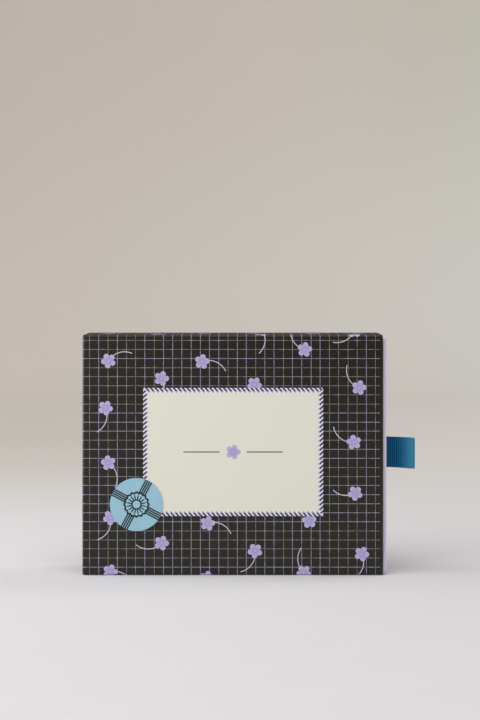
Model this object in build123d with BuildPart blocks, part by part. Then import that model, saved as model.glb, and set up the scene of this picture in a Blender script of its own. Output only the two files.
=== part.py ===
from build123d import *

import os
from math import acos, atan2, cos, degrees, hypot, sin

# Wax seal set box: a rigid slipcase with a printed paper wrap, and a drawer tray on a ribbon pull
# that holds a seal stamp, three wax sticks and a melting spoon in a foam insert.
#
# Millimetres, +Z up, the mouth towards +X, the labelled front towards -Y.
# The origin is the centre of the face that the slipcase stands on.

# ---- Driving sizes: slipcase ----------------------------------------------------------------
case_width = 145.0  # along X, closed end to mouth
case_height = 116.0  # along Z
case_depth = 40.0  # along Y
board = 1.2  # greyboard of the slipcase and the tray
paper = 0.2  # covering paper with its glue
case_round = 1.2  # outside radius where the wrap folds over an edge
mouth_round = 0.6  # fold of the wrap over the board's edge at the mouth
fold_relief = 0.1  # a board's edge is this much rounder than the paper over it
mouth_turn_in = 14.0  # wrap folded back inside the mouth

label_width = 86.8
label_height = 61.8
label_x = 0.3
label_z = 59.5
label_paper = 0.15

sticker_diameter = 25.6
sticker_inset = 26.2  # its centre, in from the closed end
sticker_z = 34.2
sticker_paper = 0.2

# ---- Driving sizes: tray and ribbon ---------------------------------------------------------
slide_gap = 0.3  # running gap all round the tray
pull_end_proud = 1.8  # how far the closed tray stands out of the mouth
tray_round = 1.0
slot_paper_margin = 1.2  # tray wrap that is folded in over the rim ends this far past the slot

ribbon_width = 15.0
ribbon_thickness = 0.4
ribbon_reach = 15.3  # how far the loop hangs out of the pull end
ribbon_layer_gap = 0.2
ribbon_bend = 0.3  # where the near layer turns onto the wall
ribbon_tail = 12.0  # glued length of each tail
slot_play = 0.1
slot_end_play = 0.7

# ---- Driving sizes: insert and contents -----------------------------------------------------
foam_thickness = 18.0
foam_gap = 0.3
pocket_gap = 0.4  # round each piece, across the pocket
seat_gap = 0.2  # under each piece
thumb_depth = 9.0
stamp_thumb_diameter = 30.0
stamp_thumb_rise = 30.0  # from the seal's face
sticks_thumb_height = 20.0
sticks_thumb_margin = 7.0
sticks_thumb_rise = 8.0  # above the insert's middle

outer_inset = 23.6  # axes of the stamp and the spoon, in from the insert's ends
stick_pitch = 17.0
sticks_shift = -1.0  # middle stick, from the insert's middle

stamp_length = 92.0
stamp_floor = 3.0  # foam left under the stamp
head_diameter = 25.0
head_rim = 5.0
head_chamfer = 0.5
head_shoulder = 10.5  # the bevel above the rim meets the neck here
head_height = 13.0
neck_diameter = 13.0
stud_diameter = 7.0
stud_play = 0.1
stud_in_head = 9.0
stud_in_handle = 12.0
stud_end_gap = 0.5
ferrule_diameter = 15.5
ferrule_wall = 0.8
ferrule_height = 9.0
ferrule_floor = 1.0
fit_gap = 0.1
waist_rise = 34.0
waist_draw_in = 1.25  # radius of the waist, under the ferrule's
crown_diameter = 24.0
petal_count = 6
petal_length = 6.4
petal_width = 2.6
petal_centre = 5.2
engraving_depth = 0.6
seal_ring_diameter = 20.5
seal_ring_width = 0.8
seal_eye_diameter = 2.4

stick_side = 11.0
stick_round = 2.2
stick_end_chamfer = 0.8
stick_length = 82.0
stick_proud = 3.6  # of the insert's face
wick_diameter = 1.6
wick_bore = 1.8
wick_reach = 8.0

bowl_diameter = 28.0  # inside, at the rim
bowl_depth = 9.5
bowl_wall = 0.8
bowl_proud = 2.0  # rim above the insert's face
spoon_length = 95.0
shank_diameter = 3.0
shank_drop = 2.6  # shank's axis below the rim
grip_length = 47.0
grip_diameter = 11.0  # at its round foot
grip_neck_diameter = 8.4
grip_ferrule_height = 8.0
grip_ferrule_wall = 0.6
grip_ferrule_cap = 0.8
shank_in_grip = 12.0

# ---- Places worked out from the sizes -------------------------------------------------------
case_left = -case_width / 2
mouth = case_width / 2
case_face = case_depth / 2
case_middle = case_height / 2
sticker_x = case_left + sticker_inset
case_wall = board + paper
room_depth = case_depth - 2 * case_wall
room_height = case_height - 2 * case_wall

tray_left = case_left + case_wall + slide_gap
tray_right = mouth + pull_end_proud
tray_length = tray_right - tray_left
tray_centre = (tray_left + tray_right) / 2
tray_depth = room_depth - 2 * paper - 2 * slide_gap
tray_height = room_height - 2 * paper - 2 * slide_gap
tray_face = tray_depth / 2
tray_foot = case_middle - tray_height / 2
tray_wall_depth = tray_depth - 2 * paper - board
inner_length = tray_length - 2 * (board + paper)
inner_height = tray_height - 2 * (board + paper)
pull_wall_inside = tray_right - board - 2 * paper

ribbon_spacing = ribbon_thickness + ribbon_layer_gap
slot_width = ribbon_spacing + 2 * ribbon_bend + slot_play
slot_height = ribbon_width + 2 * slot_end_play
rim_turn_in = tray_face + slot_width / 2 + slot_paper_margin

foam_length = inner_length - 2 * paper - 2 * foam_gap
foam_height = inner_height - 2 * paper - 2 * foam_gap
foam_back = tray_face - case_wall - paper
foam_face = foam_back - foam_thickness

stick_offsets = [sticks_shift + step * stick_pitch for step in (-1, 0, 1)]


def rounded_block(low, high, radius, open_side):
    """Block between two corners, with every edge rounded but those of the side that stays open."""
    with BuildPart() as block:
        with Locations(tuple((a + b) / 2 for a, b in zip(low, high))):
            Box(*(b - a for a, b in zip(low, high)))
        open_edges = block.faces().sort_by(open_side)[-1].edges()
        fillet(block.edges() - open_edges, radius)
    return block.part


def case_block(inset, radius):
    """The slipcase's outside, moved in by a thickness."""
    low = (case_left + inset, -case_face + inset, inset)
    high = (mouth - inset, case_face - inset, case_height - inset)
    return rounded_block(low, high, radius, Axis.X)


def case_tube(inset, radius, rim_radius):
    """The slipcase's walls between two thicknesses of paper, with both edges of the rim rounded."""
    margin = 2 * (paper - inset)
    with BuildPart() as tube:
        add(case_block(inset, radius))
        with BuildSketch(Plane.YZ.offset(mouth)):
            with Locations((0, case_middle)):
                Rectangle(room_depth - margin, room_height - margin)
        extrude(amount=-(case_width - paper), mode=Mode.SUBTRACT)
        fillet(tube.faces().sort_by(Axis.X)[-1].edges(), rim_radius)
    return tube.part


def tray_block(inset, radius):
    """The tray's outside, moved in by a thickness."""
    low = (tray_left + inset, -tray_face + inset, tray_foot + inset)
    high = (tray_right - inset, tray_face - inset, tray_foot + tray_height - inset)
    return rounded_block(low, high, radius, -Axis.Y)


def front_plane(y, x=0.0, z=0.0):
    """Plane across the object whose local axes are X and Z, and whose normal is -Y."""
    return Plane(origin=(x, y, z), x_dir=(1, 0, 0), z_dir=(0, -1, 0))


# ---- Slipcase boards ------------------------------------------------------------------------
board_relief = fold_relief - paper
board_space = case_tube(paper, case_round + board_relief, mouth_round + board_relief)
board_length = case_width - 2 * paper

with BuildPart() as sleeve_front_board:
    with BuildSketch(front_plane(-case_face + paper, z=case_middle)):
        Rectangle(board_length, case_height - 2 * paper)
    extrude(amount=-board)
    add(board_space, mode=Mode.INTERSECT)

with BuildPart() as sleeve_back_board:
    mirror(sleeve_front_board.part, about=Plane.XZ)

with BuildPart() as sleeve_bottom_board:
    with BuildSketch(Plane.XY.offset(paper)):
        Rectangle(board_length, room_depth)
    extrude(amount=board)
    add(board_space, mode=Mode.INTERSECT)

with BuildPart() as sleeve_top_board:
    mirror(sleeve_bottom_board.part, about=Plane.XY.offset(case_middle))

with BuildPart() as sleeve_end_board:
    with BuildSketch(Plane.YZ.offset(case_left + paper)):
        with Locations((0, case_middle)):
            Rectangle(room_depth, room_height)
    extrude(amount=board)

# ---- Printed wrap: one strip under the case, one sheet over the rest -------------------------
wrap_outside = case_tube(0, case_round, mouth_round)

with BuildPart() as bottom_wrap:
    with BuildSketch(Plane.XY):
        Rectangle(case_width, case_depth)
    extrude(amount=paper)
    add(wrap_outside, mode=Mode.INTERSECT)

with BuildPart() as sleeve_wrap:
    add(wrap_outside)
    add(case_tube(paper, case_round - paper, mouth_round - paper), mode=Mode.SUBTRACT)
    with BuildSketch(Plane.YZ.offset(mouth - paper - mouth_turn_in)):
        with Locations((0, case_middle)):
            Rectangle(room_depth, room_height)
    extrude(amount=-(board_length - mouth_turn_in), mode=Mode.SUBTRACT)
    with BuildSketch(Plane.XY):
        Rectangle(case_width, case_depth)
    extrude(amount=paper, mode=Mode.SUBTRACT)

# ---- Label and sticker ----------------------------------------------------------------------
with BuildPart() as front_label:
    with BuildSketch(front_plane(-case_face)):
        with Locations((label_x, label_z)):
            Rectangle(label_width, label_height)
    extrude(amount=label_paper)

with BuildPart() as round_sticker:
    with BuildSketch(front_plane(-case_face - label_paper)):
        with Locations((sticker_x, sticker_z)):
            Circle(sticker_diameter / 2)
    extrude(amount=sticker_paper)

# ---- Tray boards ----------------------------------------------------------------------------
tray_board_space = tray_block(paper, tray_round - paper + fold_relief)

with BuildPart() as tray_base_board:
    with BuildSketch(front_plane(tray_face - paper, tray_centre, case_middle)):
        Rectangle(tray_length - 2 * paper, tray_height - 2 * paper)
    extrude(amount=board)
    add(tray_board_space, mode=Mode.INTERSECT)

with BuildPart() as tray_bottom_wall:
    with BuildSketch(front_plane(-tray_face + paper, tray_centre, tray_foot + paper)):
        Rectangle(tray_length - 2 * paper, board, align=(Align.CENTER, Align.MIN))
    extrude(amount=-tray_wall_depth)
    add(tray_board_space, mode=Mode.INTERSECT)

with BuildPart() as tray_top_wall:
    mirror(tray_bottom_wall.part, about=Plane.XY.offset(case_middle))

with BuildPart() as tray_rear_end:
    with BuildSketch(front_plane(-tray_face + paper, tray_left + paper, case_middle)):
        Rectangle(board, inner_height, align=(Align.MIN, Align.CENTER))
    extrude(amount=-tray_wall_depth)
    add(tray_board_space, mode=Mode.INTERSECT)

with BuildPart() as tray_pull_end:
    mirror(tray_rear_end.part, about=Plane.YZ.offset(tray_centre))
    with BuildSketch(Plane.YZ.offset(tray_right)):
        with Locations((0, case_middle)):
            Rectangle(slot_width, slot_height)
    extrude(amount=-2 * case_wall, mode=Mode.SUBTRACT)

# ---- Tray papers ----------------------------------------------------------------------------
with BuildPart() as tray_wrap:
    add(tray_block(0, tray_round))
    add(tray_block(paper, tray_round - paper), mode=Mode.SUBTRACT)
    with BuildSketch(front_plane(-tray_face, tray_centre, case_middle)):
        Rectangle(inner_length, inner_height)
    extrude(amount=-(paper + rim_turn_in))
    with BuildSketch(front_plane(-tray_face, tray_centre, case_middle)):
        Rectangle(inner_length - 2 * paper, inner_height - 2 * paper)
    extrude(amount=-(paper + rim_turn_in), mode=Mode.SUBTRACT)
    with BuildSketch(Plane.YZ.offset(tray_right)):
        with Locations((0, case_middle)):
            Rectangle(slot_width, slot_height)
    extrude(amount=-2 * case_wall, mode=Mode.SUBTRACT)

with BuildPart() as base_liner:
    with BuildSketch(front_plane(foam_back + paper, tray_centre, case_middle)):
        Rectangle(inner_length, inner_height)
    extrude(amount=paper)

# ---- Ribbon pull ----------------------------------------------------------------------------
# The loop runs out through the slot, and both tails turn to the back and are glued to the wall,
# one over the other, about the same bend centre.
near_tail = pull_wall_inside - ribbon_thickness / 2
far_tail = near_tail - ribbon_spacing
bend_x = near_tail + ribbon_bend
bend_y = ribbon_spacing / 2 + ribbon_bend
far_bend = ribbon_bend + ribbon_spacing
tail_end = bend_y + ribbon_tail
tip = tray_right + ribbon_reach - ribbon_thickness / 2

with BuildPart() as ribbon_pull:
    with BuildSketch(Plane.XY.offset(case_middle - ribbon_width / 2)):
        with BuildLine():
            Line((near_tail, tail_end), (near_tail, bend_y))
            CenterArc((bend_x, bend_y), ribbon_bend, 180, 90)
            Line((bend_x, ribbon_spacing / 2), (tip - ribbon_spacing / 2, ribbon_spacing / 2))
            CenterArc((tip - ribbon_spacing / 2, 0), ribbon_spacing / 2, 90, -180)
            Line((tip - ribbon_spacing / 2, -ribbon_spacing / 2), (bend_x, -ribbon_spacing / 2))
            CenterArc((bend_x, bend_y), far_bend, 270, -90)
            Line((far_tail, bend_y), (far_tail, tail_end))
        trace(line_width=ribbon_thickness)
    extrude(amount=ribbon_width)

# ---- Seal stamp: it lies along Z with the seal down ------------------------------------------
stamp_x = tray_centre - foam_length / 2 + outer_inset
stamp_y = foam_back - stamp_floor - seat_gap - head_diameter / 2
stamp_foot = case_middle - stamp_length / 2
stamp_axis = Axis((stamp_x, stamp_y, 0), (0, 0, 1))
stamp_plane = front_plane(stamp_y, stamp_x, stamp_foot)
ferrule_top = head_height + ferrule_height

# The handle's straight taper touches both the cove round its waist and its round crown.
crown_rise = stamp_length - crown_diameter / 2
cove_radius = ((waist_rise - ferrule_top) ** 2 + waist_draw_in**2) / (2 * waist_draw_in)
cove_centre = ferrule_diameter / 2 - waist_draw_in + cove_radius
cove_to_crown = crown_rise - waist_rise
taper_lean = atan2(cove_to_crown, cove_centre) - acos(
    (cove_radius + crown_diameter / 2) / hypot(cove_to_crown, cove_centre)
)


def head_profile():
    """Half section of the brass seal head."""
    with BuildSketch() as profile:
        with BuildLine():
            Polyline(
                (0, 0),
                (head_diameter / 2 - head_chamfer, 0),
                (head_diameter / 2, head_chamfer),
                (head_diameter / 2, head_rim),
                (neck_diameter / 2, head_shoulder),
                (neck_diameter / 2, head_height),
                (0, head_height),
                close=True,
            )
        make_face()
    return profile.sketch


def handle_profile(grow=0.0):
    """Half section of the turned handle above the ferrule: its cove, taper and round crown."""
    crown = crown_diameter / 2 + grow
    cove = cove_radius - grow
    collar = (ferrule_diameter / 2 + grow, ferrule_top)
    cove_end = (cove_centre - cove * cos(taper_lean), waist_rise + cove * sin(taper_lean))
    taper_end = (crown * cos(taper_lean), crown_rise - crown * sin(taper_lean))
    with BuildSketch() as profile:
        with BuildLine():
            Polyline((0, crown_rise + crown), (0, ferrule_top), collar)
            RadiusArc(collar, cove_end, cove)
            Line(cove_end, taper_end)
            CenterArc((0, crown_rise), crown, -degrees(taper_lean), 90 + degrees(taper_lean))
        make_face()
    return profile.sketch


with BuildPart() as seal_head:
    with BuildSketch(stamp_plane):
        add(head_profile())
    revolve(axis=stamp_axis)
    with BuildSketch(Plane.XY.offset(stamp_foot + head_height)):
        with Locations((stamp_x, stamp_y)):
            Circle(stud_diameter / 2 + stud_play)
    extrude(amount=-stud_in_head, mode=Mode.SUBTRACT)
    with BuildSketch(Plane.XY.offset(stamp_foot)):
        with Locations((stamp_x, stamp_y)):
            Circle(seal_ring_diameter / 2)
            Circle(seal_ring_diameter / 2 - seal_ring_width, mode=Mode.SUBTRACT)
            with PolarLocations(petal_centre, petal_count):
                Ellipse(petal_length / 2, petal_width / 2)
            Circle(seal_eye_diameter / 2)
    extrude(amount=engraving_depth, mode=Mode.SUBTRACT)

with BuildPart() as handle_stud:
    with BuildSketch(Plane.XY.offset(stamp_foot + head_height - stud_in_head + stud_end_gap)):
        with Locations((stamp_x, stamp_y)):
            Circle(stud_diameter / 2)
    extrude(amount=stud_in_head + ferrule_floor + stud_in_handle - 2 * stud_end_gap)

with BuildPart() as handle_ferrule:
    with BuildSketch(Plane.XY.offset(stamp_foot + head_height)):
        with Locations((stamp_x, stamp_y)):
            Circle(ferrule_diameter / 2)
    extrude(amount=ferrule_height)
    with BuildSketch(Plane.XY.offset(stamp_foot + ferrule_top)):
        with Locations((stamp_x, stamp_y)):
            Circle(ferrule_diameter / 2 - ferrule_wall)
    extrude(amount=-(ferrule_height - ferrule_floor), mode=Mode.SUBTRACT)
    with BuildSketch(Plane.XY.offset(stamp_foot + head_height)):
        with Locations((stamp_x, stamp_y)):
            Circle(stud_diameter / 2 + stud_play)
    extrude(amount=ferrule_floor, mode=Mode.SUBTRACT)

with BuildPart() as stamp_handle:
    with BuildSketch(stamp_plane):
        add(handle_profile())
    revolve(axis=stamp_axis)
    with BuildSketch(Plane.XY.offset(stamp_foot + ferrule_top)):
        with Locations((stamp_x, stamp_y)):
            Circle(ferrule_diameter / 2 - ferrule_wall - fit_gap)
    extrude(amount=-(ferrule_height - ferrule_floor))
    with BuildSketch(Plane.XY.offset(stamp_foot + head_height + ferrule_floor)):
        with Locations((stamp_x, stamp_y)):
            Circle(stud_diameter / 2 + stud_play)
    extrude(amount=stud_in_handle, mode=Mode.SUBTRACT)

# ---- Wax sticks and wicks -------------------------------------------------------------------
stick_y = foam_face - stick_proud + stick_side / 2
stick_foot = case_middle - (stick_length + wick_reach) / 2
wax_sticks = []
wicks = []
for number, offset_x in enumerate(stick_offsets, start=1):
    stick_x = tray_centre + offset_x
    with BuildPart() as wax_stick:
        with BuildSketch(Plane.XY.offset(stick_foot)):
            with Locations((stick_x, stick_y)):
                RectangleRounded(stick_side, stick_side, stick_round)
        extrude(amount=stick_length)
        chamfer(wax_stick.faces().filter_by(Axis.Z).edges(), stick_end_chamfer)
        with Locations((stick_x, stick_y, stick_foot + stick_length)):
            Hole(radius=wick_bore / 2)
    wax_stick.part.label = f"wax_stick_{number}"
    wax_sticks.append(wax_stick.part)

    with BuildPart() as wick:
        with BuildSketch(Plane.XY.offset(stick_foot)):
            with Locations((stick_x, stick_y)):
                Circle(wick_diameter / 2)
        extrude(amount=stick_length + wick_reach)
    wick.part.label = f"wick_{number}"
    wicks.append(wick.part)

# ---- Melting spoon: bowl up, opening to the front -------------------------------------------
spoon_x = tray_centre + foam_length / 2 - outer_inset
spoon_foot = case_middle - spoon_length / 2
rim_y = foam_face - bowl_proud
bowl_sphere = (bowl_diameter**2 / 4 + bowl_depth**2) / (2 * bowl_depth)
bowl_z = spoon_foot + spoon_length - bowl_diameter / 2 - bowl_wall
grip_y = rim_y + shank_drop
grip_top = spoon_foot + grip_length
grip_axis = Axis((spoon_x, grip_y, 0), (0, 0, 1))


def bowl_cap(radius):
    """Half section of the part of a sphere below the bowl's rim."""
    with BuildSketch() as profile:
        with Locations((0, bowl_depth - bowl_sphere)):
            Circle(radius)
        Rectangle(
            2 * radius, 2 * radius, align=(Align.MIN, Align.MIN), mode=Mode.INTERSECT
        )
    return profile.sketch


def grip_profile(grow=0.0):
    """Half section of the spoon's tapered grip below its ferrule, with its round foot."""
    shoulder = grip_length - grip_ferrule_height
    foot = grip_diameter / 2
    with BuildSketch() as profile:
        with BuildLine():
            Polyline(
                (0, -grow),
                (0, shoulder),
                (grip_neck_diameter / 2 + grow, shoulder),
                (foot + grow, foot),
            )
            CenterArc((0, foot), foot + grow, 0, -90)
        make_face()
    return profile.sketch


with BuildPart() as spoon_bowl:
    bowl_plane = Plane(origin=(spoon_x, rim_y, bowl_z), x_dir=(1, 0, 0), z_dir=(0, 0, 1))
    bowl_axis = Axis((spoon_x, rim_y, bowl_z), (0, 1, 0))
    with BuildSketch(bowl_plane):
        add(bowl_cap(bowl_sphere + bowl_wall))
    revolve(axis=bowl_axis)
    with BuildSketch(Plane.XY.offset(grip_top - shank_in_grip)):
        with Locations((spoon_x, grip_y)):
            Circle(shank_diameter / 2)
    extrude(amount=bowl_z - bowl_diameter / 4 - grip_top + shank_in_grip)
    with BuildSketch(bowl_plane):
        add(bowl_cap(bowl_sphere))
    revolve(axis=bowl_axis, mode=Mode.SUBTRACT)

with BuildPart() as spoon_ferrule:
    with BuildSketch(Plane.XY.offset(grip_top - grip_ferrule_height)):
        with Locations((spoon_x, grip_y)):
            Circle(grip_neck_diameter / 2)
    extrude(amount=grip_ferrule_height)
    with BuildSketch(Plane.XY.offset(grip_top - grip_ferrule_height)):
        with Locations((spoon_x, grip_y)):
            Circle(grip_neck_diameter / 2 - grip_ferrule_wall)
    extrude(amount=grip_ferrule_height - grip_ferrule_cap, mode=Mode.SUBTRACT)
    with Locations((spoon_x, grip_y, grip_top)):
        Hole(radius=shank_diameter / 2 + fit_gap)

with BuildPart() as spoon_handle:
    with BuildSketch(front_plane(grip_y, spoon_x, spoon_foot)):
        add(grip_profile())
    revolve(axis=grip_axis)
    with BuildSketch(Plane.XY.offset(grip_top - grip_ferrule_height)):
        with Locations((spoon_x, grip_y)):
            Circle(grip_neck_diameter / 2 - grip_ferrule_wall - fit_gap)
    extrude(amount=grip_ferrule_height - grip_ferrule_cap)
    with BuildSketch(Plane.XY.offset(grip_top)):
        with Locations((spoon_x, grip_y)):
            Circle(shank_diameter / 2 + fit_gap)
    extrude(amount=-(shank_in_grip + stud_end_gap), mode=Mode.SUBTRACT)

# ---- Foam insert: a pocket to each piece's outline, and hollows for the thumb -----------------
stamp_pocket = stamp_y + head_diameter / 2 + seat_gap - foam_face
stick_pocket = stick_side - stick_proud + seat_gap
bowl_pocket = bowl_depth + bowl_wall - bowl_proud + seat_gap
grip_pocket = grip_y + grip_diameter / 2 + seat_gap - foam_face
shank_pocket = grip_y + shank_diameter / 2 + seat_gap - foam_face
bowl_rim_radius = ((bowl_sphere + bowl_wall) ** 2 - (bowl_sphere - bowl_depth) ** 2) ** 0.5
stick_span = stick_offsets[-1] - stick_offsets[0]
tail_recess = pull_wall_inside - foam_gap - (far_tail - ribbon_thickness / 2 - foam_gap)

with BuildPart() as foam_insert:
    with BuildSketch(front_plane(foam_face, tray_centre, case_middle)):
        Rectangle(foam_length, foam_height)
    extrude(amount=-foam_thickness)

    with BuildSketch(front_plane(foam_face, stamp_x, stamp_foot)):
        with Locations((0, head_height / 2)):
            Rectangle(head_diameter + 2 * pocket_gap, head_height + 2 * pocket_gap)
        with Locations((0, head_height)):
            Rectangle(
                ferrule_diameter + 2 * pocket_gap, ferrule_height, align=(Align.CENTER, Align.MIN)
            )
        add(handle_profile(pocket_gap))
        mirror(about=Plane.YZ)
    extrude(amount=-stamp_pocket, mode=Mode.SUBTRACT)

    with BuildSketch(front_plane(foam_face, stamp_x, stamp_foot + stamp_thumb_rise)):
        Circle(stamp_thumb_diameter / 2)
    extrude(amount=-thumb_depth, mode=Mode.SUBTRACT)

    with BuildSketch(front_plane(foam_face, tray_centre, case_middle)):
        with Locations([(x, 0) for x in stick_offsets]):
            RectangleRounded(
                stick_side + 2 * pocket_gap,
                stick_length + wick_reach + 2 * pocket_gap,
                stick_end_chamfer,
            )
    extrude(amount=-stick_pocket, mode=Mode.SUBTRACT)

    with BuildSketch(front_plane(foam_face, tray_centre, case_middle)):
        with Locations(((stick_offsets[0] + stick_offsets[-1]) / 2, sticks_thumb_rise)):
            RectangleRounded(
                stick_span + stick_side + 2 * sticks_thumb_margin,
                sticks_thumb_height,
                sticks_thumb_height / 2 - 0.01,
            )
    extrude(amount=-thumb_depth, mode=Mode.SUBTRACT)

    with BuildSketch(front_plane(foam_face, spoon_x, bowl_z)):
        Circle(bowl_rim_radius + pocket_gap)
    extrude(amount=-bowl_pocket, mode=Mode.SUBTRACT)
    with BuildSketch(front_plane(foam_face, spoon_x, grip_top)):
        Rectangle(
            shank_diameter + 2 * pocket_gap, bowl_z - grip_top, align=(Align.CENTER, Align.MIN)
        )
    extrude(amount=-shank_pocket, mode=Mode.SUBTRACT)
    with BuildSketch(front_plane(foam_face, spoon_x, spoon_foot)):
        add(grip_profile(pocket_gap))
        with Locations((0, grip_length - grip_ferrule_height)):
            Rectangle(
                grip_neck_diameter + 2 * pocket_gap,
                grip_ferrule_height + pocket_gap,
                align=(Align.CENTER, Align.MIN),
            )
        mirror(about=Plane.YZ)
    extrude(amount=-grip_pocket, mode=Mode.SUBTRACT)

    with BuildSketch(front_plane(foam_face, tray_centre + foam_length / 2, case_middle)):
        Rectangle(2 * tail_recess, slot_height)
    extrude(amount=-foam_thickness, mode=Mode.SUBTRACT)

# ---- Names and files ------------------------------------------------------------------------
pieces = {
    "sleeve_front_board": sleeve_front_board.part,
    "sleeve_back_board": sleeve_back_board.part,
    "sleeve_top_board": sleeve_top_board.part,
    "sleeve_bottom_board": sleeve_bottom_board.part,
    "sleeve_end_board": sleeve_end_board.part,
    "sleeve_wrap": sleeve_wrap.part,
    "bottom_wrap": bottom_wrap.part,
    "front_label": front_label.part,
    "round_sticker": round_sticker.part,
    "tray_base_board": tray_base_board.part,
    "tray_top_wall": tray_top_wall.part,
    "tray_bottom_wall": tray_bottom_wall.part,
    "tray_rear_end": tray_rear_end.part,
    "tray_pull_end": tray_pull_end.part,
    "tray_wrap": tray_wrap.part,
    "base_liner": base_liner.part,
    "ribbon_pull": ribbon_pull.part,
    "foam_insert": foam_insert.part,
    "seal_head": seal_head.part,
    "handle_stud": handle_stud.part,
    "handle_ferrule": handle_ferrule.part,
    "stamp_handle": stamp_handle.part,
    "spoon_bowl": spoon_bowl.part,
    "spoon_ferrule": spoon_ferrule.part,
    "spoon_handle": spoon_handle.part,
}
pieces.update({piece.label: piece for piece in wax_sticks + wicks})

os.makedirs("parts", exist_ok=True)
for name, piece in pieces.items():
    piece.label = name
    export_step(piece, f"parts/{name}.step")
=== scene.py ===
import math

import bpy
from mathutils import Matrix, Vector


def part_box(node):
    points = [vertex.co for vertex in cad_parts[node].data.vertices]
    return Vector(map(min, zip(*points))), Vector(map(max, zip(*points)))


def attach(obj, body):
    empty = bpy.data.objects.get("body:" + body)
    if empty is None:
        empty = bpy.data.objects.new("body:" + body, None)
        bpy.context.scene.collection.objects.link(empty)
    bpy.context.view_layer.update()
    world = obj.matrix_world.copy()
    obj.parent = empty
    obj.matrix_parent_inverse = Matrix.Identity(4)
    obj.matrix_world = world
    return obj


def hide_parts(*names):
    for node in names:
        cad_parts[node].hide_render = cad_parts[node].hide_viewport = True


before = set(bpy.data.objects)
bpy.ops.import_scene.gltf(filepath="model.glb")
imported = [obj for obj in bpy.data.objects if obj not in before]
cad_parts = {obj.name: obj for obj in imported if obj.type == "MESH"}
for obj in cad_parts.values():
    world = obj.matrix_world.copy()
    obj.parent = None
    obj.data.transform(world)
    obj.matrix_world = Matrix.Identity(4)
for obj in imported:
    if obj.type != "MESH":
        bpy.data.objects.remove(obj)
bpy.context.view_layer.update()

# Wax seal set box. Lengths are in metres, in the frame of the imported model: +X towards the mouth
# that the drawer slides out of, -Y towards the labelled front, +Z up.

MM = 0.001

# ---- Places read from the frame -------------------------------------------------------------
WRAP_LOW, WRAP_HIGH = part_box("sleeve_wrap")
CASE_LOW = Vector((WRAP_LOW.x, WRAP_LOW.y, 0))
CASE_HIGH = WRAP_HIGH
CASE_MIDDLE = (CASE_LOW + CASE_HIGH) / 2
LABEL_LOW, LABEL_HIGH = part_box("front_label")
STICKER_LOW, STICKER_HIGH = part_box("round_sticker")
RIBBON_LOW, RIBBON_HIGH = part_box("ribbon_pull")
PULL_END_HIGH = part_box("tray_wrap")[1]

# ---- Slipcase wrap --------------------------------------------------------------------------
PAPER = 0.18 * MM
CASE_WALL = 1.6 * MM  # board with its paper on both sides
CASE_ROUND = 1.2 * MM
MOUTH_ROUND = 0.6 * MM
LEAST_ROUND = 0.02 * MM  # of the corners inside the mouth
TURN_IN = 14 * MM  # how far the paper runs into the mouth
ROUND_STEPS = 5  # along half of a rounded edge
MOUTH_SIDES = ("front", "back", "top", "bottom")

# ---- Print on the wrap ----------------------------------------------------------------------
GRID_U = (-68.9 * MM, 4.448 * MM)  # an upright line's place, and the pitch
GRID_V = (4.0 * MM, 4.37 * MM)  # a level line's place, and the pitch
GRID_LINE = 0.25 * MM  # width
GRID_STRAY = 0.2 * MM  # whole range of a line's place
GREY_COVER, LAVENDER_COVER = 0.74, 0.82  # how far each ink hides the ground
PRINT_END = 71.1 * MM  # the print stops short of the mouth
SATIN, MATT = 0.25, 0.9  # roughness of the case's sides and of its top
SPRIG_CELL = (24.2 * MM, 26.5 * MM)  # width, height
SPRIG_STRAY = 6 * MM  # whole range of a sprig's place in its cell
PETALS = 5
PETAL_RADIUS = 1.34 * MM
PETAL_REACH = 2.25 * MM  # from the flower's middle to a petal's
STEM_RADIUS = 9 * MM
STEM_WIDTH = 0.36 * MM
STEM_DROP = 0.6 * MM  # of the stem's arc below the flower's middle
STEM_SPAN = (1.6 * MM, 9.2 * MM)  # where the stem starts and ends
STEM_FADE = (0.8 * MM, 0.5 * MM)  # how long its two ends fade

# ---- Label and sticker ----------------------------------------------------------------------
ROPE_WIDTH = 2.4 * MM
ROPE_PITCH = 2.2 * MM
ROPE_SLANT = 0.9  # of a strand, along the edge for each step inwards
ROPE_STRAND = (0.5, 0.27, 0.33)  # middle, full half width and faded half width, in pitches
ROPE_GLINT = (0.38, 0.11, 0.17)
ROPE_GAP = 0.72 * ROPE_WIDTH  # depth of the dark wedges between the strands
ROSETTE_RADIUS = 5.2 * MM
ROSETTE_PETALS = 16
SCALLOP = 0.7 * MM
HUB_RADIUS = ROSETTE_RADIUS * 0.42
BAND_LEAN = math.radians(28)
BAND_LINES = (-1.5 * MM, -0.5 * MM, 0.5 * MM, 1.5 * MM)
INK_LINE = 0.72 * MM  # width
RULE = (0.5 * MM, 6.5 * MM, 24 * MM)  # width, and where it starts and ends beside the flower

# ---- Ribbon ---------------------------------------------------------------------------------
RIBBON_THICKNESS = 0.4 * MM
RIBBON_SPACING = 0.6 * MM  # between the middles of the two layers in the slot
RIBBON_BEND = 0.3 * MM  # radius where a layer turns onto the pull end
SELVEDGE = 0.5 * MM
SELVEDGE_RIB = 0.25  # share of the ribs' height there
EDGE_THICKNESS = 0.55  # share of the ribbon's thickness at its very edge
RIB_PITCH = 0.97 * MM
RIB_HEIGHT = 0.2 * MM
RIB_SAMPLES = 5  # along one rib
LOOP_RADIUS = 2.3 * MM  # of the bend at the tip
LOOP_LEAN = math.radians(26)  # of the layers where the bend begins
LOOP_POWER = 3.3  # of the curve along which they part
TIP_SAG = 0.8 * MM
SAG_POWER = 1.5

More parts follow.
